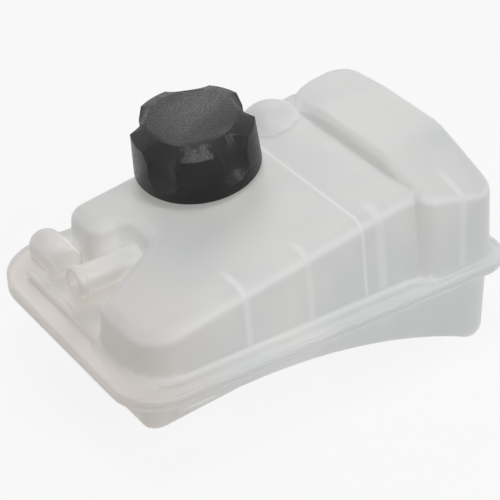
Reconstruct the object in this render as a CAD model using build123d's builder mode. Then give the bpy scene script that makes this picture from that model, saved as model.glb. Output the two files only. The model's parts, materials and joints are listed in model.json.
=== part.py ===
"""A car's coolant expansion tank: two welded polypropylene shells and a screwed pressure cap.

Millimetres, +Z up. The origin is on the resting plane, under the middle of the weld rim.
Plan positions are measured from the rim's front left corner, heights from the weld plane.
"""
import os
from math import atan2, cos, radians, sin, sqrt, tan

from build123d import *

# Weld rim
RIM_LENGTH = 227.0
RIM_WIDTH = 158.0
RIM_THICKNESS = 2.5
RIM_FRONT_LEFT_RADIUS = 25.0
RIM_BACK_LEFT_RADIUS = 34.0
RIM_RIGHT_RADIUS = 16.5
LIP_WIDTH = 1.6
LIP_HEIGHT = 1.2

# Shell walls
WALL = 2.5
WALL_INSET = 11.5
BACK_INSET = 15.0
WALL_DRAFT = 6.0
MAIN_COVE = 3.5
VAULT_COVE = 2.0
COVE_SINK = 1.0
COVE_ANGLE = 45.0

# Main chamber, under the sloping roof
ROOF_LEFT_HEIGHT = 24.5
ROOF_SLOPE = 0.16
ROOF_EDGE_RADIUS = 8.0
LEFT_CORNER_RADIUS = 22.0
MAIN_OVERLAP = 15.0
FLARE_RADIUS = 25.0
FLARE_SINK = 0.3

# Recess at the back left of the main chamber
BOX_LEFT = 38.0
BOX_DEPTH = 34.5
BOX_CORNER_RADIUS = 12.0
RECESS_END = 57.0
RECESS_WIDTH = 19.5
RECESS_BACK_SLANT = 2.0
RECESS_FRONT_SLANT = 25.0
RECESS_RADIUS = 5.0
LOBE_CORNER_RADIUS = 15.0

# Low deck in the recess, with raised ribs along its left edge
DECK_HEIGHT = 5.5
DECK_DRAFT = 8.0
DECK_UNDER_LOBE = 17.0
DECK_UNDER_BOX = 7.0
DECK_BACK_INSET = 24.0
DECK_CORNER_RADIUS = 3.0
RIB_WIDTH = 4.0
RIB_HEIGHT = 1.2
RIB_LENGTH = 17.0
RIB_PITCH = 28.0

# Half-round duct over the back of the deck
DUCT_X = 31.0
DUCT_RADIUS = 9.5
DUCT_RISE = 2.0
DUCT_LENGTH = 23.0
DUCT_BACK_INSET = 13.0

# Tall chamber at the right
VAULT_LENGTH = 51.0
VAULT_FRONT = 5.0
VAULT_RIGHT_INSET = 4.0
VAULT_DRAFT = 1.5
VAULT_CROWN_HEIGHT = 59.8
VAULT_LEFT_SHOULDER = 52.0
VAULT_LEFT_CROWN_FRONT = 42.0
VAULT_LEFT_BACK = 46.5
VAULT_RIGHT_SHOULDER = 36.5
VAULT_RIGHT_CROWN_FRONT = 58.0
VAULT_RIGHT_BACK = 57.0
VAULT_CROWN_BACK_INSET = 54.0
VAULT_BEND_RADIUS = 40.0
VAULT_EDGE_RADIUS = 6.0
VAULT_FRONT_LEFT_RADIUS = 10.0
VAULT_BACK_LEFT_RADIUS = 28.0
VAULT_END_RADIUS = 17.0

# Rounded boss on the back of the roof
BOSS_TO_VAULT = 12.0
BOSS_BACK_INSET = 34.0
BOSS_RADIUS = 19.5
BOSS_SINK = 11.0

# Cross walls inside both shells, with windows that let the coolant pass
BAFFLE_THICKNESS = 2.0
BAFFLE_STARTS = (70.0, 140.0)
HALF_BAFFLE_START = 107.0
HALF_BAFFLE_LENGTH = 84.0
WINDOW_WIDTH = 18.0
WINDOW_HEIGHT = 9.0
WINDOW_INSET = 44.0

# Degassing hose spigot over the deck
DEGAS_TO_RECESS_BACK = 8.8
DEGAS_HEIGHT = 15.0
DEGAS_TIP = 21.0
DEGAS_RADIUS = 7.5
DEGAS_BORE = 5.5
BEAD_RISE = 1.5
BEAD_LENGTH = 5.0
BEAD_CHAMFER = 0.8

# Underside
SUMP_DEPTH = 46.3
SUMP_LENGTH = 22.0
FOOT_DEPTH = 16.3
FOOT_END = 18.0
RAMP_END = 60.0
ARCH_DEPTH = 12.2
ARCH_START = 66.0
LOWER_INSET = 5.0
LOWER_LEFT_INSET = 8.0
LOWER_RIGHT_INSET = 4.3
LOWER_LEFT_RADIUS = 8.0
LOWER_RIGHT_RADIUS = 20.0
LOWER_DRAFT = 2.0
LOWER_EDGE_RADIUS = 3.5
LOWER_BEND_RADIUS = 15.0

# Outlet hose spigot under the arch
OUTLET_LENGTH = 83.0
OUTLET_RISE = 12.3
OUTLET_RADIUS = 9.5
OUTLET_BORE = 7.5

# Locating pegs under the left end
PEG_X = 45.0
PEG_SPACING = 56.0
PEG_RADIUS = 7.0
PEG_CHAMFER = 2.0
PEG_SHOULDER_RADIUS = 10.0
PEG_SHOULDER_DEPTH = 17.5

# Slotted tab under the front of the rim
TAB_LEFT = 21.5
TAB_LENGTH = 24.0
TAB_THICKNESS = 2.0
TAB_DROP = 3.4
TAB_SLOT_LENGTH = 19.0
TAB_SLOT_HEIGHT = 1.0

# Filler neck
NECK_X = 107.0
NECK_BACK_INSET = 44.0
NECK_LEAN_LEFT = 7.2
NECK_LEAN_FRONT = 4.3
NECK_BORE = 17.0
NECK_WALL = 4.0
NECK_ROOT = 12.0

# Screw cap
CAP_BASE_HEIGHT = 46.5
CAP_HEIGHT = 29.6
CAP_BASE_RADIUS = 33.5
CAP_LOBE_RADIUS = 32.2
CAP_LOBE_HEIGHT = 25.8
CAP_DISC_RADIUS = 23.4
CAP_TOP_THICKNESS = 2.5
THREAD_ROOM = 2.4
FLUTE_COUNT = 5
FLUTE_START = 62.0
FLUTE_RING = 40.5
FLUTE_RADIUS = 12.5
FLUTE_FOOT = 10.0
FLUTE_FADE = 5.5
FLUTE_FADE_ANGLE = 45.0
FLUTE_SHOULDER = 19.0
FLUTE_FLARE = 24.0
POCKET_WIDTH = 4.6
POCKET_DEPTH = 17.0
POCKET_SPAN = 26.0
SKIRT_WALL = 2.8

# Valve plug that hangs in the neck and swivels in the cap
RUN_GAP = 0.3
SEAT_GAP = 0.05
FLANGE_THICKNESS = 2.5
FLANGE_GAP = 0.5
GASKET_THICKNESS = 2.0
GASKET_MARGIN = 0.2
BARREL_GAP = 0.4
BARREL_WALL = 2.0
BARREL_LENGTH = 22.0
BARREL_LIP = 2.0
BARREL_LIP_THICKNESS = 1.0
VENT_WIDTH = 7.0
VENT_HEIGHT = 5.0
VENT_DROP = 8.0
CLIP_WIDTH = 3.0
CLIP_THICKNESS = 1.2
CLIP_DEPTH = 0.8
CLIP_OPENING = 14.0
CORD_RADIUS = 0.8
CORD_CLEARANCE = 0.25
CORD_HEIGHT = 8.0

# Pressure and vacuum valves
SEAT_THICKNESS = 2.0
SEAT_HOLE = 8.0
SEAL_THICKNESS = 1.5
SEAL_RADIUS = 12.0
PLATE_THICKNESS = 2.0
PLATE_RADIUS = 13.0
GUIDE_RADIUS = 8.2
GUIDE_WIDTH = 2.0
GUIDE_HEIGHT = 1.5
PRESSURE_COIL = 9.5
PRESSURE_WIRE = 0.8
PRESSURE_TURNS = 4.0
HEAD_RADIUS = 6.0
HEAD_THICKNESS = 1.5
STEM_RADIUS = 2.0
STEM_GAP = 0.4
STEM_LENGTH = 7.5
STEM_GROOVE = 0.5
STEM_END = 1.0
STEM_CLIP_RADIUS = 4.2
STEM_CLIP_THICKNESS = 0.8
VACUUM_COIL = 3.2
VACUUM_WIRE = 0.35
VACUUM_TURNS = 4.0

WELD_HEIGHT = SUMP_DEPTH

# Plan positions that follow from the rim's outline
MIDDLE = RIM_WIDTH / 2
MAIN_BACK = RIM_WIDTH - BACK_INSET
BOX_FRONT = MAIN_BACK - BOX_DEPTH
RECESS_BACK = BOX_FRONT - RECESS_BACK_SLANT
RECESS_FRONT = RECESS_BACK - RECESS_WIDTH
LOBE_BACK = RECESS_FRONT - RECESS_FRONT_SLANT
DEGAS_Y = RECESS_BACK - DEGAS_TO_RECESS_BACK
DUCT_BACK = RIM_WIDTH - DUCT_BACK_INSET
NECK_Y = RIM_WIDTH - NECK_BACK_INSET
VAULT_RIGHT = RIM_LENGTH - VAULT_RIGHT_INSET
VAULT_LEFT = VAULT_RIGHT - VAULT_LENGTH
VAULT_CROWN_BACK = RIM_WIDTH - VAULT_CROWN_BACK_INSET
BOSS_X = VAULT_LEFT - BOSS_TO_VAULT
BOSS_Y = RIM_WIDTH - BOSS_BACK_INSET
SUMP_START = RIM_LENGTH - SUMP_LENGTH
OUTLET_TIP = SUMP_START - OUTLET_LENGTH
OUTLET_DEPTH = SUMP_DEPTH - OUTLET_RISE

# Heights along the neck above the cap's base, stacked down from the cap's ceiling
CAP_CEILING = CAP_HEIGHT - CAP_TOP_THICKNESS
FLANGE_TOP = CAP_CEILING - RUN_GAP
FLANGE_BOTTOM = FLANGE_TOP - FLANGE_THICKNESS
NECK_TOP = FLANGE_BOTTOM - GASKET_THICKNESS
CLIP_TOP = FLANGE_BOTTOM - RUN_GAP
CLIP_BOTTOM = CLIP_TOP - CLIP_THICKNESS
BARREL_BOTTOM = FLANGE_BOTTOM - BARREL_LENGTH
SEAT_BOTTOM = BARREL_BOTTOM + BARREL_LIP_THICKNESS
SEAT_TOP = SEAT_BOTTOM + SEAT_THICKNESS
SEAL_TOP = SEAT_TOP + SEAL_THICKNESS
PLATE_TOP = SEAL_TOP + PLATE_THICKNESS
STEM_CLIP_BOTTOM = PLATE_TOP + STEM_LENGTH - STEM_END - STEM_CLIP_THICKNESS
CORD_CENTRE_HEIGHT = BARREL_BOTTOM + CORD_HEIGHT

# Radii that follow from the neck's bore and the fits
NECK_RADIUS = NECK_BORE + NECK_WALL
CAP_BORE = NECK_RADIUS + THREAD_ROOM
CLIP_GROOVE = CAP_BORE + CLIP_DEPTH + SEAT_GAP
CLIP_RADIUS = CAP_BORE + CLIP_DEPTH
FLANGE_RADIUS = CAP_BORE - FLANGE_GAP
BARREL_RADIUS = NECK_BORE - BARREL_GAP
BARREL_BORE = BARREL_RADIUS - BARREL_WALL
CORD_RING = NECK_BORE - CORD_CLEARANCE - CORD_RADIUS
CORD_GROOVE = CORD_RING - CORD_RADIUS - SEAT_GAP
STEM_HOLE = STEM_RADIUS + STEM_GAP
POCKET_RING = CAP_BORE + SKIRT_WALL + POCKET_WIDTH / 2


def level(height):
    """Horizontal plane at a height above the weld, measured from the rim's front left corner."""
    return Plane(origin=(-RIM_LENGTH / 2, -RIM_WIDTH / 2, WELD_HEIGHT + height))


def side(y):
    """Upright plane along the tank, at a distance from the rim's front edge."""
    origin = (-RIM_LENGTH / 2, -RIM_WIDTH / 2 + y, WELD_HEIGHT)
    return Plane(origin=origin, x_dir=(1, 0, 0), z_dir=(0, -1, 0))


def section(x):
    """Upright plane across the tank, at a distance from the rim's left end."""
    origin = (-RIM_LENGTH / 2 + x, -RIM_WIDTH / 2, WELD_HEIGHT)
    return Plane(origin=origin, x_dir=(0, 1, 0), z_dir=(1, 0, 0))


def place(x, y, height):
    """Point of the model from its plan position and its height above the weld."""
    return level(0).from_local_coords(Vector(x, y, height))


NECK_PLANE = Plane(
    origin=place(NECK_X, NECK_Y, CAP_BASE_HEIGHT),
    x_dir=(1, 0, tan(radians(NECK_LEAN_LEFT))),
    z_dir=(-tan(radians(NECK_LEAN_LEFT)), -tan(radians(NECK_LEAN_FRONT)), 1),
)
NECK_SECTION = Plane(origin=NECK_PLANE.origin, x_dir=NECK_PLANE.x_dir, z_dir=-NECK_PLANE.y_dir)
NECK_AXIS = Axis(NECK_PLANE.origin, NECK_PLANE.z_dir)


def roof_height(x):
    """Height of the main chamber's sloping roof."""
    return ROOF_LEFT_HEIGHT + ROOF_SLOPE * x


def border(faces):
    """Edges around the outside of a group of neighbouring faces."""
    edges = [edge for face in faces for edge in face.edges()]
    return [edge for edge in edges if sum(edge.is_same(other) for other in edges) == 1]


def rim_outline(height, inset):
    """Outline of the weld rim at a height, set in from its edge."""
    with BuildSketch(level(height)) as outline:
        with BuildLine():
            FilletPolyline(
                (0, 0),
                (RIM_LENGTH, 0),
                (RIM_LENGTH, RIM_WIDTH),
                (0, RIM_WIDTH),
                radius=[RIM_FRONT_LEFT_RADIUS, RIM_RIGHT_RADIUS, RIM_RIGHT_RADIUS, RIM_BACK_LEFT_RADIUS],
                close=True,
            )
        make_face()
        if inset:
            offset(amount=-inset)
    return outline.sketch


def flare_corners():
    """Bend and end of the front wall's flare, a hollow arc to the tall chamber's round corner."""
    reach = FLARE_RADIUS + VAULT_FRONT_LEFT_RADIUS - FLARE_SINK
    across = VAULT_FRONT + VAULT_FRONT_LEFT_RADIUS - WALL_INSET + FLARE_RADIUS
    along = sqrt(reach**2 - across**2)
    turn = atan2(along, across)
    start = VAULT_LEFT + VAULT_FRONT_LEFT_RADIUS - along
    bend = (start + FLARE_RADIUS * tan(turn / 2), WALL_INSET)
    end = (start + FLARE_RADIUS * sin(turn), WALL_INSET - FLARE_RADIUS * (1 - cos(turn)))
    return bend, (end[0] + FLARE_SINK * cos(turn), end[1] - FLARE_SINK * sin(turn))


def main_plan(height, inset):
    """Plan of the main chamber, with the recess at its back left and the flare at its front right."""
    right = VAULT_LEFT + MAIN_OVERLAP + inset
    flare_bend, flare_end = flare_corners()
    with BuildSketch(level(height)) as plan:
        with BuildLine():
            FilletPolyline(
                (WALL_INSET, WALL_INSET),
                flare_bend,
                flare_end,
                (right, flare_end[1]),
                (right, MAIN_BACK),
                (BOX_LEFT, MAIN_BACK),
                (BOX_LEFT, BOX_FRONT),
                (RECESS_END, RECESS_BACK),
                (RECESS_END, RECESS_FRONT),
                (WALL_INSET, LOBE_BACK),
                radius=[
                    LEFT_CORNER_RADIUS,
                    FLARE_RADIUS,
                    0,
                    0,
                    0,
                    BOX_CORNER_RADIUS,
                    BOX_CORNER_RADIUS,
                    RECESS_RADIUS,
                    RECESS_RADIUS,
                    LOBE_CORNER_RADIUS,
                ],
                close=True,
            )
        make_face()
        if inset:
            offset(amount=-inset)
    return plan.sketch


def main_form(inset):
    """Main chamber: its drafted plan cut off by the sloping roof, with its upper edges rounded."""
    with BuildPart() as form:
        extrude(main_plan(0, inset), amount=roof_height(RIM_LENGTH), taper=WALL_DRAFT)
        with BuildSketch(side(0)):
            with BuildLine():
                Polyline(
                    (0, 0),
                    (RIM_LENGTH, 0),
                    (RIM_LENGTH, roof_height(RIM_LENGTH) - inset),
                    (0, roof_height(0) - inset),
                    close=True,
                )
            make_face()
        extrude(amount=-RIM_WIDTH, mode=Mode.INTERSECT)
        roof = form.faces().filter_by(lambda face: face.normal_at().Z > 0.9).sort_by(SortBy.AREA)[-1]
        flare_end = place(flare_corners()[1][0], 0, 0)
        fillet(roof.edges().filter_by(lambda edge: edge.center().X < flare_end.X), ROOF_EDGE_RADIUS - inset)
    return form.part


def deck_form(inset):
    """Low deck in the recess, with a slanting back edge."""
    right = RECESS_END + RECESS_RADIUS + inset
    with BuildPart() as form:
        with BuildSketch(level(0)):
            with BuildLine():
                FilletPolyline(
                    (WALL_INSET, LOBE_BACK - DECK_UNDER_LOBE),
                    (right, LOBE_BACK - DECK_UNDER_LOBE),
                    (right, BOX_FRONT + DECK_UNDER_BOX),
                    (BOX_LEFT + BOX_CORNER_RADIUS, BOX_FRONT + DECK_UNDER_BOX),
                    (WALL_INSET, RIM_WIDTH - DECK_BACK_INSET),
                    radius=[0, 0, 0, 0, DECK_CORNER_RADIUS],
                    close=True,
                )
            make_face()
            if inset:
                offset(amount=-inset)
        extrude(amount=DECK_HEIGHT - inset, taper=DECK_DRAFT)
    return form.part


def duct_form(inset):
    """Half-round duct with a flat end and a domed end, lying along the back of the deck."""
    centre_height = DECK_HEIGHT + DUCT_RISE
    with BuildPart() as form:
        with BuildSketch(side(DUCT_BACK - DUCT_LENGTH + inset)):
            with Locations((DUCT_X, centre_height)):
                Circle(DUCT_RADIUS - inset)
        extrude(amount=inset - DUCT_LENGTH)
        with Locations(place(DUCT_X, DUCT_BACK, centre_height)):
            Sphere(DUCT_RADIUS - inset)
        split(bisect_by=level(0), keep=Keep.TOP)
    return form.part


def vault_section(x, shoulder, crown_front, back, inset):
    """Cross profile of the tall chamber: front shoulder, crown and the fall to the back."""
    with BuildSketch(section(x)) as profile:
        with BuildLine():
            FilletPolyline(
                (0, 0),
                (0, shoulder - inset),
                (crown_front, VAULT_CROWN_HEIGHT - inset),
                (VAULT_CROWN_BACK, VAULT_CROWN_HEIGHT - inset),
                (RIM_WIDTH, back - inset),
                (RIM_WIDTH, 0),
                radius=[0, 0, VAULT_BEND_RADIUS, VAULT_BEND_RADIUS, 0, 0],
                close=True,
            )
        make_face()
    return profile.sketch


def vault_plan(height, inset):
    """Plan of the tall chamber."""
    with BuildSketch(level(height)) as plan:
        with BuildLine():
            FilletPolyline(
                (VAULT_LEFT, VAULT_FRONT),
                (VAULT_RIGHT, VAULT_FRONT),
                (VAULT_RIGHT, MAIN_BACK),
                (VAULT_LEFT, MAIN_BACK),
                radius=[VAULT_FRONT_LEFT_RADIUS, VAULT_END_RADIUS, VAULT_END_RADIUS, VAULT_BACK_LEFT_RADIUS],
                close=True,
            )
        make_face()
        if inset:
            offset(amount=-inset)
    return plan.sketch


def vault_form(inset):
    """Tall chamber: a twisted roof lofted along the tank, trimmed by a drafted plan."""
    left_sizes = (VAULT_LEFT_SHOULDER, VAULT_LEFT_CROWN_FRONT, VAULT_LEFT_BACK)
    right_sizes = (VAULT_RIGHT_SHOULDER, VAULT_RIGHT_CROWN_FRONT, VAULT_RIGHT_BACK)
    left_end = vault_section(VAULT_LEFT, *left_sizes, inset)
    right_end = vault_section(VAULT_RIGHT, *right_sizes, inset)
    height = VAULT_CROWN_HEIGHT + VAULT_EDGE_RADIUS
    with BuildPart() as form:
        loft([left_end, right_end], ruled=True)
        extrude(vault_plan(0, inset), amount=height, taper=VAULT_DRAFT, mode=Mode.INTERSECT)
        roof = form.faces().filter_by(lambda face: face.normal_at().Z > 0.5)
        fillet(border(roof), VAULT_EDGE_RADIUS - inset)
    return form.part


def boss_form(inset):
    """Rounded boss on the back of the roof."""
    with BuildPart() as form:
        with Locations(place(BOSS_X, BOSS_Y, roof_height(BOSS_X) - BOSS_SINK)):
            Sphere(BOSS_RADIUS - inset)
    return form.part


def lower_form(inset):
    """Lower half: a drafted plan trimmed by the arched underside."""
    right = RIM_LENGTH - LOWER_RIGHT_INSET
    back = RIM_WIDTH - LOWER_INSET
    with BuildPart() as form:
        with BuildSketch(level(0)):
            with BuildLine():
                FilletPolyline(
                    (LOWER_LEFT_INSET, LOWER_INSET),
                    (right, LOWER_INSET),
                    (right, back),
                    (LOWER_LEFT_INSET, back),
                    radius=[LOWER_LEFT_RADIUS, LOWER_RIGHT_RADIUS, LOWER_RIGHT_RADIUS, LOWER_LEFT_RADIUS],
                    close=True,
                )
            make_face()
            if inset:
                offset(amount=-inset)
        extrude(amount=-SUMP_DEPTH, taper=LOWER_DRAFT)
        with BuildSketch(side(0)) as profile:
            with BuildLine():
                FilletPolyline(
                    (ARCH_START, -ARCH_DEPTH),
                    (RAMP_END, -ARCH_DEPTH),
                    (FOOT_END, -FOOT_DEPTH),
                    (0, -FOOT_DEPTH),
                    radius=LOWER_BEND_RADIUS,
                )
                Polyline(
                    (0, -FOOT_DEPTH),
                    (0, SUMP_DEPTH),
                    (RIM_LENGTH, SUMP_DEPTH),
                    (RIM_LENGTH, -SUMP_DEPTH),
                    (SUMP_START, -SUMP_DEPTH),
                )
                TangentArc((ARCH_START, -ARCH_DEPTH), (SUMP_START, -SUMP_DEPTH), tangent=(1, 0))
            make_face()
            corner = profile.vertices().sort_by_distance((SUMP_START, -SUMP_DEPTH))[0]
            fillet(corner, LOWER_BEND_RADIUS)
            if inset:
                offset(amount=-inset)
        extrude(amount=-RIM_WIDTH, mode=Mode.INTERSECT)
        underside = form.faces().filter_by(lambda face: face.normal_at().Z < -0.5)
        fillet(border(underside), LOWER_EDGE_RADIUS - inset)
    return form.part


def baffle_form(hollow, height):
    """Cross walls of one shell: slabs cut to the hollow they stand in, with windows through them."""
    with BuildPart() as form:
        add(hollow)
        with BuildSketch(level(0)):
            for start in BAFFLE_STARTS:
                with Locations((start, 0)):
                    Rectangle(BAFFLE_THICKNESS, RIM_WIDTH, align=Align.MIN)
            with Locations((HALF_BAFFLE_START, 0)):
                Rectangle(BAFFLE_THICKNESS, HALF_BAFFLE_LENGTH, align=Align.MIN)
        extrude(amount=height, mode=Mode.INTERSECT)
        with BuildSketch(section(0)):
            with Locations((WINDOW_INSET, 0), (RIM_WIDTH - WINDOW_INSET, 0)):
                Rectangle(WINDOW_WIDTH, 2 * WINDOW_HEIGHT)
        extrude(amount=RIM_LENGTH, mode=Mode.SUBTRACT)
    return form.part


def spigot_form(tip, root, radius):
    """Round hose spigot from its tip to its root, with a retaining bead at the tip."""
    axis = root - tip
    with BuildPart() as form:
        with BuildSketch(Plane(origin=tip, z_dir=axis)):
            Circle(radius)
        extrude(amount=axis.length)
        with BuildSketch(Plane(origin=tip, z_dir=axis)):
            Circle(radius + BEAD_RISE)
        extrude(amount=BEAD_LENGTH)
        bead = form.edges().filter_by(GeomType.CIRCLE).filter_by(lambda edge: edge.radius > radius)
        chamfer(bead, BEAD_CHAMFER)
    return form.part


def spigot_bore(tip, root, radius):
    """Straight bore of a hose spigot."""
    axis = root - tip
    with BuildPart() as form:
        with BuildSketch(Plane(origin=tip, z_dir=axis)):
            Circle(radius)
        extrude(amount=axis.length)
    return form.part


degas_tip = place(DEGAS_TIP, DEGAS_Y, DEGAS_HEIGHT)
degas_root = place(RECESS_END + 2 * WALL, DEGAS_Y, DEGAS_HEIGHT)
outlet_tip = place(OUTLET_TIP, MIDDLE, -OUTLET_DEPTH)
outlet_root = place(SUMP_START, MIDDLE, -OUTLET_DEPTH)

# Upper shell: rim, chambers, deck, duct, boss, neck and degassing spigot, hollowed as one moulding
with BuildPart() as upper_shell:
    extrude(rim_outline(0, 0), amount=RIM_THICKNESS)
    extrude(rim_outline(RIM_THICKNESS, 0), amount=LIP_HEIGHT)
    extrude(rim_outline(RIM_THICKNESS, LIP_WIDTH), amount=LIP_HEIGHT, mode=Mode.SUBTRACT)
    extrude(main_plan(RIM_THICKNESS, -MAIN_COVE), amount=MAIN_COVE + COVE_SINK, taper=COVE_ANGLE)
    extrude(vault_plan(RIM_THICKNESS, -VAULT_COVE), amount=VAULT_COVE + COVE_SINK, taper=COVE_ANGLE)
    add(main_form(0))
    add(vault_form(0))
    add(deck_form(0))
    add(duct_form(0))
    add(boss_form(0))
    with BuildSketch(level(DECK_HEIGHT)):
        with Locations((WALL_INSET, RECESS_FRONT), (WALL_INSET, RECESS_FRONT + RIB_PITCH)):
            Rectangle(RIB_WIDTH, RIB_LENGTH, align=Align.MIN)
    extrude(amount=RIB_HEIGHT)
    with BuildSketch(NECK_PLANE.offset(NECK_TOP)):
        Circle(NECK_RADIUS)
    extrude(amount=-NECK_TOP - NECK_ROOT)
    add(spigot_form(degas_tip, degas_root, DEGAS_RADIUS))
    for hollow in (main_form, vault_form, deck_form, duct_form, boss_form):
        add(hollow(WALL), mode=Mode.SUBTRACT)
    add(baffle_form(main_form(WALL / 2), roof_height(RIM_LENGTH)))
    with BuildSketch(NECK_PLANE.offset(NECK_TOP)):
        Circle(NECK_BORE)
    extrude(amount=-NECK_TOP - NECK_ROOT, mode=Mode.SUBTRACT)
    add(spigot_bore(degas_tip, degas_root, DEGAS_BORE), mode=Mode.SUBTRACT)

# Lower shell: rim, arched hollow body, outlet spigot, locating pegs and the slotted tab
with BuildPart() as lower_shell:
    extrude(rim_outline(0, 0), amount=-RIM_THICKNESS)
    add(lower_form(0))
    add(spigot_form(outlet_tip, outlet_root, OUTLET_RADIUS))
    with BuildSketch(level(-SUMP_DEPTH)):
        with Locations((PEG_X, MIDDLE - PEG_SPACING / 2), (PEG_X, MIDDLE + PEG_SPACING / 2)):
            Circle(PEG_RADIUS)
    extrude(amount=SUMP_DEPTH)
    with BuildSketch(level(-PEG_SHOULDER_DEPTH)):
        with Locations((PEG_X, MIDDLE - PEG_SPACING / 2), (PEG_X, MIDDLE + PEG_SPACING / 2)):
            Circle(PEG_SHOULDER_RADIUS)
    extrude(amount=PEG_SHOULDER_DEPTH)
    add(lower_form(WALL), mode=Mode.SUBTRACT)
    add(baffle_form(lower_form(WALL / 2), -SUMP_DEPTH))
    add(spigot_bore(outlet_tip, outlet_root, OUTLET_BORE), mode=Mode.SUBTRACT)
    tips = lower_shell.edges().filter_by(GeomType.CIRCLE).filter_by(lambda edge: edge.radius == PEG_RADIUS)
    chamfer(tips.group_by(Axis.Z)[0], PEG_CHAMFER)
    with BuildSketch(side(0)):
        with Locations((TAB_LEFT, -RIM_THICKNESS)):
            Rectangle(TAB_LENGTH, TAB_DROP, align=(Align.MIN, Align.MAX))
        with Locations((TAB_LEFT + TAB_LENGTH / 2, -RIM_THICKNESS - TAB_DROP / 2)):
            SlotOverall(TAB_SLOT_LENGTH, TAB_SLOT_HEIGHT, mode=Mode.SUBTRACT)
    extrude(amount=-TAB_THICKNESS)


def flute_circles(height, radius):
    """The finger flutes' round sections at a height above the cap's base."""
    with BuildSketch(NECK_PLANE.offset(height)) as circles:
        with PolarLocations(FLUTE_RING, FLUTE_COUNT, start_angle=FLUTE_START):
            Circle(radius)
    return circles.sketch


pocket_arc = CenterArc((0, 0), POCKET_RING, -POCKET_SPAN / 2, POCKET_SPAN)

# Cap: a turned form with finger flutes that fade out above the base ring and flare at the top
with BuildPart() as cap:
    with BuildSketch(NECK_SECTION):
        with BuildLine():
            Polyline(
                (0, CAP_HEIGHT),
                (CAP_DISC_RADIUS, CAP_HEIGHT),
                (CAP_LOBE_RADIUS, CAP_LOBE_HEIGHT),
                (CAP_BASE_RADIUS, 0),
                (CAP_BORE, 0),
                (CAP_BORE, CLIP_BOTTOM - SEAT_GAP),
                (CLIP_GROOVE, CLIP_BOTTOM - SEAT_GAP),
                (CLIP_GROOVE, CLIP_TOP + SEAT_GAP),
                (CAP_BORE, CLIP_TOP + SEAT_GAP),
                (CAP_BORE, CAP_CEILING),
                (0, CAP_CEILING),
                close=True,
            )
        make_face()
    revolve(axis=NECK_AXIS)
    foot = flute_circles(FLUTE_FOOT, FLUTE_RADIUS)
    shoulder = flute_circles(FLUTE_SHOULDER, FLUTE_RADIUS)
    extrude(foot, amount=-FLUTE_FADE, taper=FLUTE_FADE_ANGLE, mode=Mode.SUBTRACT)
    extrude(foot, amount=FLUTE_SHOULDER - FLUTE_FOOT, mode=Mode.SUBTRACT)
    extrude(shoulder, amount=CAP_HEIGHT - FLUTE_SHOULDER, taper=-FLUTE_FLARE, mode=Mode.SUBTRACT)
    with BuildSketch(NECK_PLANE):
        with PolarLocations(0, FLUTE_COUNT, start_angle=FLUTE_START + 180 / FLUTE_COUNT):
            SlotArc(pocket_arc, POCKET_WIDTH)
    extrude(amount=POCKET_DEPTH, mode=Mode.SUBTRACT)

# Plug: flange, barrel with its seal groove and bottom lip, and two vents
with BuildPart() as cap_plug:
    with BuildSketch(NECK_SECTION):
        with BuildLine():
            Polyline(
                (0, FLANGE_TOP),
                (FLANGE_RADIUS, FLANGE_TOP),
                (FLANGE_RADIUS, FLANGE_BOTTOM),
                (BARREL_RADIUS, FLANGE_BOTTOM),
                (BARREL_RADIUS, CORD_CENTRE_HEIGHT + CORD_RADIUS + SEAT_GAP),
                (CORD_GROOVE, CORD_CENTRE_HEIGHT + CORD_RADIUS + SEAT_GAP),
                (CORD_GROOVE, CORD_CENTRE_HEIGHT - CORD_RADIUS - SEAT_GAP),
                (BARREL_RADIUS, CORD_CENTRE_HEIGHT - CORD_RADIUS - SEAT_GAP),
                (BARREL_RADIUS, BARREL_BOTTOM),
                (BARREL_BORE - BARREL_LIP, BARREL_BOTTOM),
                (BARREL_BORE - BARREL_LIP, SEAT_BOTTOM),
                (BARREL_BORE, SEAT_BOTTOM),
                (BARREL_BORE, FLANGE_BOTTOM),
                (0, FLANGE_BOTTOM),
                close=True,
            )
        make_face()
    revolve(axis=NECK_AXIS)
    with BuildSketch(NECK_SECTION):
        with Locations((0, FLANGE_BOTTOM - VENT_DROP)):
            Rectangle(VENT_WIDTH, VENT_HEIGHT)
    extrude(amount=NECK_BORE, both=True, mode=Mode.SUBTRACT)


def ring(inner, outer, bottom, top):
    """Flat ring on the neck's axis between two heights."""
    with BuildPart() as form:
        with BuildSketch(NECK_PLANE.offset(bottom)):
            Circle(outer)
            Circle(inner, mode=Mode.SUBTRACT)
        extrude(amount=top - bottom)
    return form.part


def coil(radius, wire, turns, bottom, top):
    """Compression spring on the neck's axis, its end turns against two heights."""
    height = top - bottom - 2 * (wire + SEAT_GAP)
    start = NECK_PLANE.offset(bottom + wire + SEAT_GAP).origin
    with BuildPart() as form:
        with BuildLine():
            path = Helix(height / turns, height, radius, center=start, direction=NECK_PLANE.z_dir)
        with BuildSketch(Plane(origin=path @ 0, z_dir=path % 0)):
            Circle(wire)
        sweep(path=path, is_frenet=True)
    return form.part


# Split spring clip in the cap's groove, under the plug's flange
with BuildPart() as plug_clip_ring:
    add(ring(CLIP_RADIUS - CLIP_WIDTH, CLIP_RADIUS, CLIP_BOTTOM, CLIP_TOP))
    with BuildSketch(NECK_PLANE.offset(CLIP_BOTTOM)):
        Rectangle(CLIP_RADIUS, CLIP_OPENING, align=(Align.MIN, Align.CENTER))
    extrude(amount=CLIP_THICKNESS, mode=Mode.SUBTRACT)

# Flat gasket between the neck's rim and the flange
with BuildPart() as neck_gasket:
    add(ring(NECK_BORE + GASKET_MARGIN, NECK_RADIUS - GASKET_MARGIN, NECK_TOP, FLANGE_BOTTOM))

# O-ring in the barrel's groove
with BuildPart() as plug_o_ring:
    with BuildSketch(NECK_SECTION):
        with Locations((CORD_RING, CORD_CENTRE_HEIGHT)):
            Circle(CORD_RADIUS)
    revolve(axis=NECK_AXIS)

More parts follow.
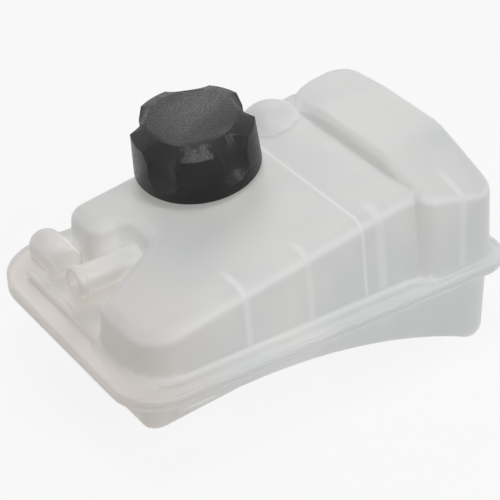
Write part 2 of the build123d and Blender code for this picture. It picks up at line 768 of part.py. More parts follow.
# Seat ring on the barrel's bottom lip
with BuildPart() as valve_seat_ring:
    add(ring(SEAT_HOLE, BARREL_BORE - SEAT_GAP, SEAT_BOTTOM, SEAT_TOP))

# Rubber seal under the pressure plate
with BuildPart() as pressure_seal:
    add(ring(STEM_HOLE, SEAL_RADIUS, SEAT_TOP, SEAL_TOP))

# Pressure plate with a raised ring that centres its spring
with BuildPart() as pressure_valve:
    add(ring(STEM_HOLE, PLATE_RADIUS, SEAL_TOP, PLATE_TOP))
    add(ring(GUIDE_RADIUS - GUIDE_WIDTH, GUIDE_RADIUS, PLATE_TOP, PLATE_TOP + GUIDE_HEIGHT))

with BuildPart() as pressure_spring:
    add(coil(PRESSURE_COIL, PRESSURE_WIRE, PRESSURE_TURNS, PLATE_TOP, FLANGE_BOTTOM))

# Vacuum poppet: head under the seal, stem through the plate, groove for its clip
with BuildPart() as vacuum_valve:
    with BuildSketch(NECK_SECTION):
        with BuildLine():
            Polyline(
                (0, SEAT_TOP - HEAD_THICKNESS),
                (HEAD_RADIUS, SEAT_TOP - HEAD_THICKNESS),
                (HEAD_RADIUS, SEAT_TOP),
                (STEM_RADIUS, SEAT_TOP),
                (STEM_RADIUS, STEM_CLIP_BOTTOM - SEAT_GAP),
                (STEM_RADIUS - STEM_GROOVE, STEM_CLIP_BOTTOM - SEAT_GAP),
                (STEM_RADIUS - STEM_GROOVE, STEM_CLIP_BOTTOM + STEM_CLIP_THICKNESS + SEAT_GAP),
                (STEM_RADIUS, STEM_CLIP_BOTTOM + STEM_CLIP_THICKNESS + SEAT_GAP),
                (STEM_RADIUS, PLATE_TOP + STEM_LENGTH),
                (0, PLATE_TOP + STEM_LENGTH),
                close=True,
            )
        make_face()
    revolve(axis=NECK_AXIS)

# Open clip in the stem's groove
with BuildPart() as stem_clip:
    hole = STEM_RADIUS - STEM_GROOVE + SEAT_GAP
    add(ring(hole, STEM_CLIP_RADIUS, STEM_CLIP_BOTTOM, STEM_CLIP_BOTTOM + STEM_CLIP_THICKNESS))
    with BuildSketch(NECK_PLANE.offset(STEM_CLIP_BOTTOM)):
        Rectangle(STEM_CLIP_RADIUS, 2 * hole, align=(Align.MIN, Align.CENTER))
    extrude(amount=STEM_CLIP_THICKNESS, mode=Mode.SUBTRACT)

with BuildPart() as vacuum_spring:
    add(coil(VACUUM_COIL, VACUUM_WIRE, VACUUM_TURNS, PLATE_TOP, STEM_CLIP_BOTTOM))

pieces = {
    "upper_shell": upper_shell,
    "lower_shell": lower_shell,
    "cap": cap,
    "cap_plug": cap_plug,
    "plug_clip_ring": plug_clip_ring,
    "neck_gasket": neck_gasket,
    "plug_o_ring": plug_o_ring,
    "valve_seat_ring": valve_seat_ring,
    "pressure_seal": pressure_seal,
    "pressure_valve": pressure_valve,
    "pressure_spring": pressure_spring,
    "vacuum_valve": vacuum_valve,
    "stem_clip": stem_clip,
    "vacuum_spring": vacuum_spring,
}
os.makedirs("parts", exist_ok=True)
for label, piece in pieces.items():
    piece.part.label = label
    export_step(piece.part, f"parts/{label}.step")
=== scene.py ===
"""Looks of a car's coolant expansion tank: milky welded shells, a black screw cap and its valve.

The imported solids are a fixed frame. Each piece here is in metres in that frame and rides on the body
that carries it.
"""
import json
from math import cos, pi, radians, sin

import bmesh
import bpy
import numpy as np
from bpy.props import FloatProperty, FloatVectorProperty, IntProperty, PointerProperty
from mathutils import Matrix, Vector


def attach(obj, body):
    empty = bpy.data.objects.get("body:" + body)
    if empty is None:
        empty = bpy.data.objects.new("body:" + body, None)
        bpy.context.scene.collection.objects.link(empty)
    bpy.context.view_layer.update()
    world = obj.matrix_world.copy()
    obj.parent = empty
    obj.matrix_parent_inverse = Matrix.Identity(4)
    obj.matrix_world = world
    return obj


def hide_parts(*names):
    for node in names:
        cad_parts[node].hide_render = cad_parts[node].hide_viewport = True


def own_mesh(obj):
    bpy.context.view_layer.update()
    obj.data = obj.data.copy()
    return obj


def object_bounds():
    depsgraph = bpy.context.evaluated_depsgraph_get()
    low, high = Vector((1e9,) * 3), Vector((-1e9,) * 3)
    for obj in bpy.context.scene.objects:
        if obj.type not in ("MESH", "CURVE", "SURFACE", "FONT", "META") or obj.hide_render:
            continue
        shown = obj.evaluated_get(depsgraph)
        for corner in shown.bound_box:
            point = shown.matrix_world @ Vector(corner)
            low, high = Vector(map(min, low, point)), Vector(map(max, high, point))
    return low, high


bl_info = {
    "name": "Coolant Expansion Tank",
    "version": (1, 0, 0),
    "blender": (4, 5, 0),
    "location": "View3D > Sidebar > Tank",
    "description": "Dresses the solids of a coolant expansion tank and sets its studio",
    "category": "Object",
}

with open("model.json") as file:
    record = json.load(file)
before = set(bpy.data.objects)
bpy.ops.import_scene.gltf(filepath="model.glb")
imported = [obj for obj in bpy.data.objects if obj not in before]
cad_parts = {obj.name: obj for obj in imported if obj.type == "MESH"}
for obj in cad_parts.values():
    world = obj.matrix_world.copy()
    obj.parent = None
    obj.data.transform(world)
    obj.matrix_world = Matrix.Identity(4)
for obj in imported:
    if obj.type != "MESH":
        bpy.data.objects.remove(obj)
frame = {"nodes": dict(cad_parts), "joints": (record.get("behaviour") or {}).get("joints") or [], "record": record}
cad_low, cad_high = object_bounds()

MM = 0.001
JOINTS = {joint["name"]: joint for joint in frame["joints"]}
CAP_TURN, CAP_LIFT = JOINTS["cap_turn"], JOINTS["cap_lift"]

# The neck's own axes: its base point, its long axis and two directions across it
NECK_BASE = np.array(CAP_TURN["pos_m"])
NECK_UP = np.array(CAP_TURN["axis"]) / np.linalg.norm(CAP_TURN["axis"])
NECK_ACROSS = np.cross((0.0, 1.0, 0.0), NECK_UP)
NECK_ACROSS /= np.linalg.norm(NECK_ACROSS)
NECK_SIDE = np.cross(NECK_UP, NECK_ACROSS)


def linear(hex_colour):
    """Linear colour of an sRGB hex value: each channel through the sRGB curve."""
    channels = np.array([int(hex_colour[i:i + 2], 16) for i in (1, 3, 5)]) / 255
    curve = np.where(channels <= 0.04045, channels / 12.92, ((channels + 0.055) / 1.055) ** 2.4)
    return tuple(float(value) for value in curve)


def colour_property(name, hex_colour, description):
    """Colour setting with an sRGB hex default."""
    return FloatVectorProperty(
        name=name, description=description, subtype="COLOR", size=3, min=0, max=1, default=linear(hex_colour)
    )


def length_property(name, metres, description):
    """Length setting in metres."""
    return FloatProperty(name=name, description=description, unit="LENGTH", default=metres, precision=5)


def angle_property(name, degrees, description):
    """Angle setting with its default in degrees."""
    return FloatProperty(name=name, description=description, subtype="ANGLE", default=radians(degrees))


class TankShells(bpy.types.PropertyGroup):
    """Settings of the moulded shells."""

    milky: colour_property("Milky", "#dededc", "Natural polypropylene in full light")
    cloudy: colour_property("Cloudy", "#d3d5d5", "Greyer clouds where the melt flowed together")
    warm: colour_property("Warm", "#d9d1cb", "Warmer tint by the low end of the rim")
    # Painted highlight: a paler tint on rounded edges and on lines at the cross walls, standing in for light that
    # thicker plastic scatters back
    pale: colour_property("Pale", "#f6f6f5", "Edges and lines where more plastic backs the skin")
    scatter: length_property("Scatter", 8.0 * MM, "How far light travels inside the plastic")
    soft_edge: length_property("Soft edge", 2.4 * MM, "Radius that the mould leaves on each corner")
    # The next two set a painted glow in the plastic's own colour, standing in for light through the walls and,
    # stronger, for light into creases
    through_light: FloatProperty(name="Light through", description="Light through walls", default=0.12, min=0)
    crease_light: FloatProperty(name="Crease light", description="Light into creases", default=0.24, min=0)
    crease_reach: length_property("Crease reach", 12.0 * MM, "How near a crease's walls stand")


class TankCap(bpy.types.PropertyGroup):
    """Settings of the screw cap and the threads."""

    black: colour_property("Black", "#141414", "Black nylon")
    worn: colour_property("Worn", "#252424", "Black nylon on rubbed places")
    grain: length_property("Grain", 1.0 * MM, "Size of the spark-eroded grain, coarse enough to show")
    gloss: FloatProperty(
        name="Gloss", description="Strength of the satin gloss", subtype="FACTOR", default=0.36, min=0, max=1
    )
    soft_edge: length_property("Soft edge", 0.7 * MM, "Radius that the mould leaves on each corner")
    thread_height: length_property("Thread height", 1.6 * MM, "Height of the thread ridges")
    thread_width: length_property("Thread width", 1.7 * MM, "Width of the thread ridges at their roots")
    thread_starts: IntProperty(name="Thread starts", description="Ridges side by side", default=2, min=1)


class TankValve(bpy.types.PropertyGroup):
    """Settings of the valve's pieces inside the cap."""

    plug: colour_property("Plug", "#3a3b3d", "Dark grey nylon of the plug")
    rubber: colour_property("Rubber", "#161616", "Black seal rubber")
    steel: colour_property("Steel", "#b9bbbf", "Bright spring steel")
    brass: colour_property("Brass", "#b99a5c", "Turned brass")


class TankStage(bpy.types.PropertyGroup):
    """Settings of the floor, the light and the camera."""

    floor: colour_property("Floor", "#f4f4f4", "Plain pale floor")
    world_light: FloatProperty(name="World light", description="Light from all round", default=0.35, min=0)
    lamp_watts: FloatProperty(
        name="Lamps", description="Power that each lamp takes its share of", unit="POWER", default=2.5, min=0
    )
    azimuth: angle_property("Azimuth", -32.18, "Camera's turn about the tank")
    elevation: angle_property("Elevation", 34.22, "Camera's height angle")
    roll: angle_property("Roll", -2.29, "Camera's roll about its own axis")
    distance: length_property("Distance", 1.0183, "Distance from the camera to its aim")
    lens: FloatProperty(name="Lens", description="Focal length", unit="CAMERA", default=144.0, min=1)


PROPERTY_GROUPS = {
    "tank_shells": TankShells,
    "tank_cap": TankCap,
    "tank_valve": TankValve,
    "tank_stage": TankStage,
}


def fill(tree, node, inputs):
    """Fills a node's inputs, by key or in order, with values or with other nodes' outputs. A whole node
    stands for its first output."""
    keyed = inputs if isinstance(inputs, dict) else dict(enumerate(inputs))
    for key, value in keyed.items():
        source = value.outputs[0] if isinstance(value, bpy.types.Node) else value
        if isinstance(source, bpy.types.NodeSocket):
            tree.links.new(source, node.inputs[key])
        else:
            node.inputs[key].default_value = source


def add_node(tree, kind, inputs=(), **settings):
    """Adds a node, sets its options and fills its inputs."""
    node = tree.nodes.new(kind)
    for name, value in settings.items():
        setattr(node, name, value)
    fill(tree, node, inputs)
    return node


def new_material(name):
    """Empty material with its shader linked to the output. Gives the material, its tree and the shader."""
    material = bpy.data.materials.new(name)
    material.use_nodes = True
    tree = material.node_tree
    tree.nodes.clear()
    shader = add_node(tree, "ShaderNodeBsdfPrincipled")
    add_node(tree, "ShaderNodeOutputMaterial", {"Surface": shader})
    return material, tree, shader


def rgba(colour):
    """Colour setting with full alpha, as a node's socket takes it."""
    return (*colour, 1.0)


# How a Map Range node eases from one value to another, and the sockets with which a Mix node mixes colours
SMOOTH = {"interpolation_type": "SMOOTHSTEP"}
MIX_SHARE, MIX_FIRST, MIX_SECOND, MIX_RESULT = 0, 6, 7, 2

# Layers of a plain and of a richer noise, and the samples with which corners and creases are looked for
PLAIN_DETAIL = 2.0
RICH_DETAIL = 3.0
EDGE_SAMPLES = 8

# Pale lines of painted light in the skin, the first three at cross walls: middle, half width, soft edge, strength,
# back end
WALL_LINES = (
    (-42.5 * MM, 0.6 * MM, 2.2 * MM, 0.60, -52 * MM),
    (-5.5 * MM, 0.5 * MM, 2.4 * MM, 0.45, -58 * MM),
    (27.5 * MM, 0.3 * MM, 1.2 * MM, 0.70, 40 * MM),
    (38.0 * MM, 1.2 * MM, 3.0 * MM, 0.45, -58 * MM),
    (83.0 * MM, 0.7 * MM, 3.0 * MM, 0.40, -62 * MM),
)
LINE_END = 14 * MM
LINE_FOOT = 4 * MM
STEEP_LINE_SHARE = 0.55
RIM_TOP = 50 * MM

# The surface's rise is 0 on an upright wall and 1 on a level one. Each pair starts and ends a change of painted
# light
LINE_RISE = (0.3, 0.9)
# Painted highlight on rounded edges, whose rise lies between upright and level
EDGE_START_RISE = (0.2, 0.55)
EDGE_END_RISE = (0.6, 0.95)
EDGE_HIGHLIGHT_SHARE = 0.3

# Clouds in the plastic, its warm end, its fine skin and how open a crease is, over which the painted glow
# strengthens
CLOUD_SIZE = 62 * MM
CLOUD_SPAN = (0.32, 0.68)
WARM_REACH = 70 * MM
WARM_SHARE = 0.7
SKIN_SIZE = 2.2 * MM
SKIN_ROUGHNESS = (0.34, 0.46)
SKIN_STRENGTH = 0.05
SKIN_DEPTH = 0.2 * MM
CREASE_SPAN = (0.35, 1.0)
SCATTER_TINT = (1.0, 1.0, 0.97)
POLYPROPYLENE_IOR = 1.49


def wall_lines(tree, parts, rise):
    """Pale lines of painted light in the skin above the rim, standing in for light that thicker plastic scatters
    back where a cross wall meets it, and at two more places: full near each line's plane, fading out sideways and
    towards the back, and fainter on the steep front."""
    lines = 0.0
    for middle, half_width, soft_edge, strength, back in WALL_LINES:
        offset = add_node(tree, "ShaderNodeMath", (parts.outputs["X"], middle), operation="SUBTRACT")
        away = add_node(tree, "ShaderNodeMath", (offset,), operation="ABSOLUTE")
        sideways = (away, half_width, half_width + soft_edge, strength, 0.0)
        line = add_node(tree, "ShaderNodeMapRange", sideways, **SMOOTH)
        backwards = (parts.outputs["Y"], back, back + LINE_END, 1.0, 0.0)
        run = add_node(tree, "ShaderNodeMapRange", backwards, **SMOOTH)
        faded = add_node(tree, "ShaderNodeMath", (line, run), operation="MULTIPLY")
        lines = add_node(tree, "ShaderNodeMath", (lines, faded), operation="MAXIMUM")
    above_rim = (parts.outputs["Z"], RIM_TOP, RIM_TOP + LINE_FOOT, 0.0, 1.0)
    on_slope = (rise, *LINE_RISE, STEEP_LINE_SHARE, 1.0)
    for span in (above_rim, on_slope):
        share = add_node(tree, "ShaderNodeMapRange", span, **SMOOTH)
        lines = add_node(tree, "ShaderNodeMath", (lines, share), operation="MULTIPLY")
    return lines


def moulded_relief(tree, soft_edge, height, strength, depth):
    """Normal of a moulded surface: its corners rounded to a radius, then raised by a pattern's height."""
    rounded = add_node(tree, "ShaderNodeBevel", {"Radius": soft_edge}, samples=EDGE_SAMPLES)
    relief = {"Height": height, "Strength": strength, "Distance": depth, "Normal": rounded}
    return add_node(tree, "ShaderNodeBump", relief)


def milky_polypropylene(look):
    """Natural polypropylene, injection moulded and welded: light scatters in the wall, so it looks like thin milk,
    with a half-gloss skin. A painted highlight makes it paler where a cross wall or a rounded edge backs the skin,
    and a painted glow in its own colour stands in for light from the far side of the wall, stronger in creases so
    that they don't go dark."""
    material, tree, shader = new_material("milky_polypropylene")
    place = add_node(tree, "ShaderNodeTexCoord").outputs["Object"]
    parts = add_node(tree, "ShaderNodeSeparateXYZ", (place,))
    normal = add_node(tree, "ShaderNodeNewGeometry").outputs["Normal"]
    rise = add_node(tree, "ShaderNodeSeparateXYZ", (normal,)).outputs["Z"]

    clouds = {"Vector": place, "Scale": 1 / CLOUD_SIZE, "Detail": PLAIN_DETAIL}
    cloud_span = (add_node(tree, "ShaderNodeTexNoise", clouds), *CLOUD_SPAN, 0.0, 1.0)
    cloudy = add_node(tree, "ShaderNodeMapRange", cloud_span, **SMOOTH)
    warm_span = (parts.outputs["X"], cad_low.x, cad_low.x + WARM_REACH, WARM_SHARE, 0.0)
    warm = add_node(tree, "ShaderNodeMapRange", warm_span, **SMOOTH)
    # Painted highlight: paler on rounded edges, by the surface's rise, and on the painted wall lines
    start_span = (rise, *EDGE_START_RISE, 0.0, EDGE_HIGHLIGHT_SHARE)
    edge_start = add_node(tree, "ShaderNodeMapRange", start_span, **SMOOTH)
    edge_end = add_node(tree, "ShaderNodeMapRange", (rise, *EDGE_END_RISE, 1.0, 0.0), **SMOOTH)
    edges = add_node(tree, "ShaderNodeMath", (edge_start, edge_end), operation="MULTIPLY")
    lines = wall_lines(tree, parts, rise)
    pale = add_node(tree, "ShaderNodeMath", (lines, edges), operation="MAXIMUM")
    # The clouds and the warm end are the plastic's own tones; the last mix lays on the painted highlight
    colour = rgba(look.milky)
    for share, tint in ((cloudy, look.cloudy), (warm, look.warm), (pale, look.pale)):
        mix = {MIX_SHARE: share, MIX_FIRST: colour, MIX_SECOND: rgba(tint)}
        colour = add_node(tree, "ShaderNodeMix", mix, data_type="RGBA").outputs[MIX_RESULT]

    # Painted glow: emission in the plastic's own colour, stronger where walls stand near, standing in for light
    # through the walls and into creases
    near_walls = {"Distance": look.crease_reach}
    openness = add_node(tree, "ShaderNodeAmbientOcclusion", near_walls, samples=EDGE_SAMPLES).outputs["AO"]
    glow = (openness, *CREASE_SPAN, look.crease_light, look.through_light)
    skin_size = {"Vector": place, "Scale": 1 / SKIN_SIZE, "Detail": RICH_DETAIL}
    skin = add_node(tree, "ShaderNodeTexNoise", skin_size)
    shader.subsurface_method = "RANDOM_WALK"
    fill(tree, shader, {
        "Base Color": colour,
        "Emission Color": colour,
        "Emission Strength": add_node(tree, "ShaderNodeMapRange", glow, **SMOOTH),
        "Roughness": add_node(tree, "ShaderNodeMapRange", (skin, 0.0, 1.0, *SKIN_ROUGHNESS), **SMOOTH),
        "Normal": moulded_relief(tree, look.soft_edge, skin, SKIN_STRENGTH, SKIN_DEPTH),
        "Subsurface Weight": 1.0,
        "Subsurface Radius": SCATTER_TINT,
        "Subsurface Scale": look.scatter,
        "IOR": POLYPROPYLENE_IOR,
    })
    return material


# Rubbed places on the nylon, and its grain
WORN_SIZE = 24 * MM
WORN_SPAN = (0.4, 0.75)
GRAIN_SPAN = (0.3, 0.7)
GRAIN_ROUGHNESS = (0.28, 0.46)
GRAIN_STRENGTH = 0.7
GRAIN_DEPTH = 0.14 * MM
NYLON_IOR = 1.53


def black_nylon(look):
    """Black glass-filled nylon from a spark-eroded mould: satin, with a grain that catches the light. The
    real grain is finer than a pixel, so it is drawn as coarse as it needs to show."""
    material, tree, shader = new_material("black_nylon")
    place = add_node(tree, "ShaderNodeTexCoord").outputs["Object"]
    grain_size = {"Vector": place, "Scale": 1 / look.grain, "Detail": PLAIN_DETAIL}
    grain = add_node(tree, "ShaderNodeTexNoise", grain_size)
    rubbed = {"Vector": place, "Scale": 1 / WORN_SIZE, "Detail": RICH_DETAIL}
    worn_span = (add_node(tree, "ShaderNodeTexNoise", rubbed), *WORN_SPAN, 0.0, 1.0)
    worn = add_node(tree, "ShaderNodeMapRange", worn_span, **SMOOTH)
    mix = {MIX_SHARE: worn, MIX_FIRST: rgba(look.black), MIX_SECOND: rgba(look.worn)}
    fill(tree, shader, {
        "Base Color": add_node(tree, "ShaderNodeMix", mix, data_type="RGBA").outputs[MIX_RESULT],
        "Roughness": add_node(tree, "ShaderNodeMapRange", (grain, *GRAIN_SPAN, *GRAIN_ROUGHNESS), **SMOOTH),
        "Normal": moulded_relief(tree, look.soft_edge, grain, GRAIN_STRENGTH, GRAIN_DEPTH),
        "IOR": NYLON_IOR,
        "Specular IOR Level": look.gloss,
    })
    return material


# How far the gloss of a small piece strays, and how each slot inside the cap looks: moulded nylon is satin,
# moulded rubber dull, drawn spring wire and turned brass bright with fine marks. The columns are the
# material, its colour setting, metallic, roughness, size of the marks and IOR, which metals leave alone
SPECKLE = 0.08
FINISHES = {
    "plug_nylon": ("grey_nylon", "plug", 0.0, 0.5, 0.6 * MM, NYLON_IOR),
    "seal_rubber": ("seal_rubber", "rubber", 0.0, 0.75, 0.8 * MM, 1.52),
    "spring_steel": ("spring_steel", "steel", 1.0, 0.28, 0.4 * MM, None),
    "valve_brass": ("turned_brass", "brass", 1.0, 0.32, 0.4 * MM, None),
}


def speckled(name, colour, metallic, roughness, size, ior):
    """Finish with a fine unevenness in its gloss, for the small pieces inside the cap."""
    material, tree, shader = new_material(name)
    place = add_node(tree, "ShaderNodeTexCoord").outputs["Object"]
    marks = {"Vector": place, "Scale": 1 / size, "Detail": PLAIN_DETAIL}
    span = (add_node(tree, "ShaderNodeTexNoise", marks), 0.0, 1.0, roughness - SPECKLE, roughness + SPECKLE)
    uneven = add_node(tree, "ShaderNodeMapRange", span, **SMOOTH)
    fill(tree, shader, {"Base Color": rgba(colour), "Metallic": metallic, "Roughness": uneven})
    if ior:
        fill(tree, shader, {"IOR": ior})
    return material


def shared_material(maker, look):
    """The material that a function makes under its own name, made on first use."""
    return bpy.data.materials.get(maker.__name__) or maker(look)


# Points nearer than this are one, flatter faces are joined, and sharper edges stay sharp
MERGE_DISTANCE = 0.002 * MM
FLAT_ANGLE = radians(0.4)
SHARP_ANGLE = radians(32)
CAP_SHARP_ANGLE = radians(20)


def add_piece(name, mesh, body, material, sharp_angle):
    """Piece from a finished mesh, shaded smooth up to the sharp angle, riding on a body."""
    mesh.shade_smooth()
    mesh.set_sharp_from_angle(angle=sharp_angle)
    mesh.materials.clear()
    mesh.materials.append(material)
    piece = bpy.data.objects.new(name, mesh)
    bpy.context.scene.collection.objects.link(piece)
    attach(piece, body)
    return piece


def smooth_copy(node, name, body, material, sharp_angle=SHARP_ANGLE, weighting="FACE_AREA"):
    """Copy of a solid's triangles, merged into one skin, with each corner's normal weighted by its faces'
    areas or angles. It stands for the node."""
    mesh = frame["nodes"][node].data.copy()
    mesh.name = name
    work = bmesh.new()
    work.from_mesh(mesh)
    bmesh.ops.remove_doubles(work, verts=work.verts, dist=MERGE_DISTANCE)
    bmesh.ops.dissolve_limit(work, angle_limit=FLAT_ANGLE, verts=work.verts, edges=work.edges)
    work.to_mesh(mesh)
    work.free()
    piece = add_piece(name, mesh, body, material, sharp_angle)
    weighted = piece.modifiers.new("even_normals", "WEIGHTED_NORMAL")
    weighted.keep_sharp = True
    weighted.mode = weighting
    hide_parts(node)
    return piece


def grid_faces(rows, columns):
    """Quads between rows of points numbered row by row, each row closed into a ring."""
    row, column = np.meshgrid(np.arange(rows - 1), np.arange(columns), indexing="ij")
    following = (column + 1) % columns
    near = row * columns
    far = near + columns
    return np.stack((near + column, far + column, far + following, near + following), axis=-1).reshape(-1, 4)


def about_neck(radius, angle, height):
    """Points round the neck's axis: base + radius (cos angle across + sin angle side) + height up."""
    across = (radius * np.cos(angle))[..., None] * NECK_ACROSS
    side = (radius * np.sin(angle))[..., None] * NECK_SIDE
    return NECK_BASE + across + side + height[..., None] * NECK_UP


# The neck's outer wall and the cap's bore, the thread's start above the neck's base, and its run
NECK_RADIUS = 21.0 * MM
CAP_BORE = 23.4 * MM
NECK_THREAD_START = 4.5 * MM
THREAD_TURNS = 1.4
THREAD_LEAD = CAP_LIFT["range_m"][1] / (CAP_TURN["range_deg"][1] / 360)

# Steps along and across a ridge, the share of its run that each end fades over, and how deep its edge and
# its root sit in the wall
THREAD_STEPS = 140
PROFILE_STEPS = 13
FADE_SHARE = 1 / 12
THREAD_SINK = 0.15 * MM
ROOT_SINK = 0.45 * MM


def thread_ridge(name, wall, outward, start_height, start_angle, look, body, material):
    """Ridge on a helix: a rounded profile across the ridge, height h (1 - |t|^3) over half a width each
    way, carried round while it climbs by the lead each turn, and fading out at both ends."""
    run = np.linspace(0, 1, THREAD_STEPS)
    along, across = np.meshgrid(run, np.linspace(-1, 1, PROFILE_STEPS), indexing="ij")
    from_end = np.clip(np.minimum(along, 1 - along) / FADE_SHARE, 0, 1)
    fade = from_end * from_end * (3 - 2 * from_end)
    height = look.thread_height * fade * (1 - np.abs(across) ** 3)
    angle = start_angle + 2 * pi * THREAD_TURNS * along
    climb = start_height + THREAD_LEAD * THREAD_TURNS * along + across * look.thread_width / 2
    crest = about_neck(wall + outward * (height - THREAD_SINK), angle, climb)
    root = about_neck(wall - outward * ROOT_SINK, angle, climb)
    ring = np.concatenate([crest, root[:, ::-1]], axis=1)
    count = ring.shape[1]
    first = np.arange(count)
    last = first + (THREAD_STEPS - 1) * count
    faces = grid_faces(THREAD_STEPS, count).tolist() + [first[::-1].tolist(), last.tolist()]
    mesh = bpy.data.meshes.new(name)
    mesh.from_pydata(ring.reshape(-1, 3), [], faces)
    work = bmesh.new()
    work.from_mesh(mesh)
    bmesh.ops.recalc_face_normals(work, faces=work.faces)
    work.to_mesh(mesh)
    work.free()
    return add_piece(name, mesh, body, material, SHARP_ANGLE)


class TANK_OT_shells(bpy.types.Operator):
    """Dress the two moulded shells in milky polypropylene"""

    bl_idname = "tank.shells"
    bl_label = "Shells"

    def execute(self, context):
        plastic = shared_material(milky_polypropylene, context.scene.tank_shells)
        for node in ("upper_shell", "lower_shell"):
            smooth_copy(node, f"moulded_{node}", "tank", plastic)
        return {"FINISHED"}


class TANK_OT_cap(bpy.types.Operator):
    """Dress the screw cap in black nylon"""

    bl_idname = "tank.cap"
    bl_label = "Screw cap"

    def execute(self, context):
        nylon = shared_material(black_nylon, context.scene.tank_cap)
        smooth_copy("cap", "moulded_cap", "screw_cap", nylon, CAP_SHARP_ANGLE, "CORNER_ANGLE")
        return {"FINISHED"}


class TANK_OT_threads(bpy.types.Operator):
    """Add the neck's outer thread and the cap's inner thread, which share one lead"""

    bl_idname = "tank.threads"
    bl_label = "Threads"

    def execute(self, context):
        look = context.scene.tank_cap
        plastic = shared_material(milky_polypropylene, context.scene.tank_shells)
        nylon = shared_material(black_nylon, look)
        pitch = THREAD_LEAD / look.thread_starts
        for start in range(look.thread_starts):
            turn = 2 * pi * start / look.thread_starts
            thread_ridge(f"neck_thread_{start}", NECK_RADIUS, 1, NECK_THREAD_START, turn, look,
                         "tank", plastic)
            thread_ridge(f"cap_thread_{start}", CAP_BORE, -1, NECK_THREAD_START - pitch / 2, turn, look,
                         "screw_cap", nylon)
        return {"FINISHED"}


# The valve paired with each spring, and which end of the spring stays where it is
SPRING_VALVES = {"pressure_spring": ("pressure_lift", max), "vacuum_spring": ("vacuum_drop", min)}


def shorten_with_valve(spring, valve, fixed_end):
    """Works out where along the neck the end of a coil spring that stays put lies, and gives the spring a mesh of
    its own."""
    points = np.empty(3 * len(spring.data.vertices))
    spring.data.vertices.foreach_get("co", points)
    heights = (points.reshape(-1, 3) - NECK_BASE) @ NECK_UP
    anchor = NECK_BASE + fixed_end(heights.min(), heights.max()) * NECK_UP
    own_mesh(spring)


class TANK_OT_valve(bpy.types.Operator):
    """Dress the plug, its seals, springs and valves inside the cap"""

    bl_idname = "tank.valve"
    bl_label = "Pressure valve"

    def execute(self, context):
        look = context.scene.tank_valve
        materials = {}
        for slot, (name, setting, *finish) in FINISHES.items():
            materials[slot] = speckled(name, getattr(look, setting), *finish)
        bodies = frame["record"]["behaviour"]["bodies"]
        body_of = {node: body for body, nodes in bodies.items() for node in nodes}
        for entry in frame["record"]["subparts"]:
            node, slot = entry["node"], entry["material_slot"]
            if slot in materials:
                piece = smooth_copy(node, f"fine_{node}", body_of[node], materials[slot])
                if node in SPRING_VALVES:
                    shorten_with_valve(piece, *SPRING_VALVES[node])
        return {"FINISHED"}


# Half the floor's side in metres, the share of plain white in it and the rays that see that white
FLOOR_REACH = 3.0
WHITE_SHARE = 0.86
BACKGROUND_RAYS = ("Is Camera Ray", "Is Glossy Ray", "Is Transmission Ray")
WHITE = (1.0, 1.0, 1.0, 1.0)

# Each lamp's place in metres, its width and its share of the power, and the point that all of them face
LAMPS = {
    "overhead": ((-0.1, -0.07, 1.3), 0.45, 1.2),
    "behind": ((0.45, 0.75, 0.75), 0.5, 0.4),
    "front": ((0.3, -1.0, 0.75), 0.6, 1.2),
}
LAMP_AIM = Vector((0, 0, 50 * MM))

# The point that the camera faces, its shift across and up the picture, the sensor in mm and the depth of view
AIM = Vector((-3.5 * MM, -14.0 * MM, 68.8 * MM))
AIM_SHIFT = (-3.2 * MM, -4.4 * MM)
SENSOR_WIDTH = 36
NEAREST, FARTHEST = 0.05, 20


def white_background(tree, most):
    """Share of plain white for the rays that see the background, up to the most, and none for the others."""
    path = add_node(tree, "ShaderNodeLightPath").outputs
    seen = 0.0
    for name in BACKGROUND_RAYS:
        seen = add_node(tree, "ShaderNodeMath", (seen, path[name]), operation="MAXIMUM")
    return add_node(tree, "ShaderNodeMath", (seen, most), operation="MULTIPLY")


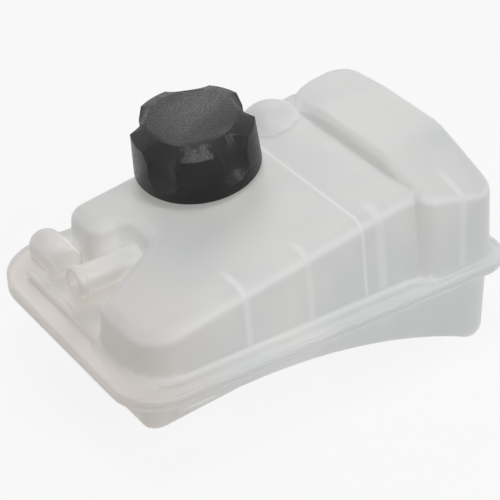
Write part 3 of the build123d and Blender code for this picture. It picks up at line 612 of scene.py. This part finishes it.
class TANK_OT_stage(bpy.types.Operator):
    """Lay the pale floor, hang the soft light and set the camera at the photograph's angle"""

    bl_idname = "tank.stage"
    bl_label = "Stage"

    def execute(self, context):
        look = context.scene.tank_stage
        self.lay_floor(look)
        self.light_world(context.scene, look)
        self.hang_lights(look)
        self.set_camera(context.scene, look)
        context.scene.view_settings.view_transform = "Standard"
        return {"FINISHED"}

    def lay_floor(self, look):
        """Square floor at the resting plane, white to the camera but still holding the tank's shadow."""
        material = bpy.data.materials.new("pale_floor")
        material.use_nodes = True
        tree = material.node_tree
        tree.nodes.clear()
        matt = add_node(tree, "ShaderNodeBsdfDiffuse", {"Color": rgba(look.floor)})
        white = add_node(tree, "ShaderNodeEmission", {"Color": WHITE, "Strength": 1.0})
        mixed = add_node(tree, "ShaderNodeMixShader", (white_background(tree, WHITE_SHARE), matt, white))
        add_node(tree, "ShaderNodeOutputMaterial", {"Surface": mixed})
        corners = np.array([(-1, -1, 0), (1, -1, 0), (1, 1, 0), (-1, 1, 0)], float) * FLOOR_REACH
        mesh = bpy.data.meshes.new("floor")
        mesh.from_pydata(corners, [], [(0, 1, 2, 3)])
        mesh.materials.append(material)
        floor = bpy.data.objects.new("floor", mesh)
        bpy.context.scene.collection.objects.link(floor)

    def light_world(self, scene, look):
        """Even light from all round, white where the camera, gloss or glass sees it."""
        world = bpy.data.worlds.new("light_tent")
        world.use_nodes = True
        tree = world.node_tree
        tree.nodes.clear()
        around = add_node(tree, "ShaderNodeBackground", {"Color": WHITE, "Strength": look.world_light})
        white = add_node(tree, "ShaderNodeBackground", {"Color": WHITE, "Strength": 1.0})
        mixed = add_node(tree, "ShaderNodeMixShader", (white_background(tree, 1.0), around, white))
        add_node(tree, "ShaderNodeOutputWorld", {"Surface": mixed})
        scene.world = world

    def hang_lights(self, look):
        """Large soft lamps: one overhead, one in front to the right and a weaker one behind the tank."""
        for name, (place, size, share) in LAMPS.items():
            light = bpy.data.lights.new(name, "AREA")
            light.shape = "DISK"
            light.size = size
            light.energy = look.lamp_watts * share
            lamp = bpy.data.objects.new(name, light)
            lamp.location = place
            lamp.rotation_euler = (LAMP_AIM - Vector(place)).to_track_quat("-Z", "Y").to_euler()
            bpy.context.scene.collection.objects.link(lamp)

    def set_camera(self, scene, look):
        """Camera on a ray at the azimuth and elevation from its aim, rolled about that ray."""
        turn, rise, roll = look.azimuth, look.elevation, look.roll
        back = Vector((sin(turn) * cos(rise), -cos(turn) * cos(rise), sin(rise)))
        level = Vector((cos(turn), sin(turn), 0))
        up = back.cross(level)
        right = cos(roll) * level + sin(roll) * up
        top = -sin(roll) * level + cos(roll) * up
        data = bpy.data.cameras.new("camera")
        data.lens = look.lens
        data.sensor_width = SENSOR_WIDTH
        data.clip_start, data.clip_end = NEAREST, FARTHEST
        camera = bpy.data.objects.new("camera", data)
        place = AIM + AIM_SHIFT[0] * right + AIM_SHIFT[1] * top + look.distance * back
        turned = Matrix((right, top, back)).transposed().to_4x4()
        camera.matrix_world = Matrix.Translation(place) @ turned
        scene.collection.objects.link(camera)
        scene.camera = camera


OPERATORS = (TANK_OT_shells, TANK_OT_cap, TANK_OT_threads, TANK_OT_valve, TANK_OT_stage)


class TANK_PT_panel(bpy.types.Panel):
    """Lists the tank's settings and the steps that make it"""

    bl_idname = "TANK_PT_panel"
    bl_label = "Coolant Expansion Tank"
    bl_space_type = "VIEW_3D"
    bl_region_type = "UI"
    bl_category = "Tank"

    def draw(self, context):
        for group, kind in PROPERTY_GROUPS.items():
            box = self.layout.box()
            for name in kind.__annotations__:
                box.prop(getattr(context.scene, group), name)
        for operator in OPERATORS:
            self.layout.operator(operator.bl_idname)


CLASSES = (*PROPERTY_GROUPS.values(), *OPERATORS, TANK_PT_panel)


def register():
    """Adds the classes and hangs the settings on the scene."""
    for kind in CLASSES:
        bpy.utils.register_class(kind)
    for group, kind in PROPERTY_GROUPS.items():
        setattr(bpy.types.Scene, group, PointerProperty(type=kind))


def unregister():
    """Takes the settings and the classes away."""
    for group in PROPERTY_GROUPS:
        delattr(bpy.types.Scene, group)
    for kind in reversed(CLASSES):
        bpy.utils.unregister_class(kind)


def main():
    """Makes every piece in order."""
    register()
    bpy.ops.tank.shells()
    bpy.ops.tank.cap()
    bpy.ops.tank.threads()
    bpy.ops.tank.valve()
    bpy.ops.tank.stage()


if __name__ == "__main__":
    main()
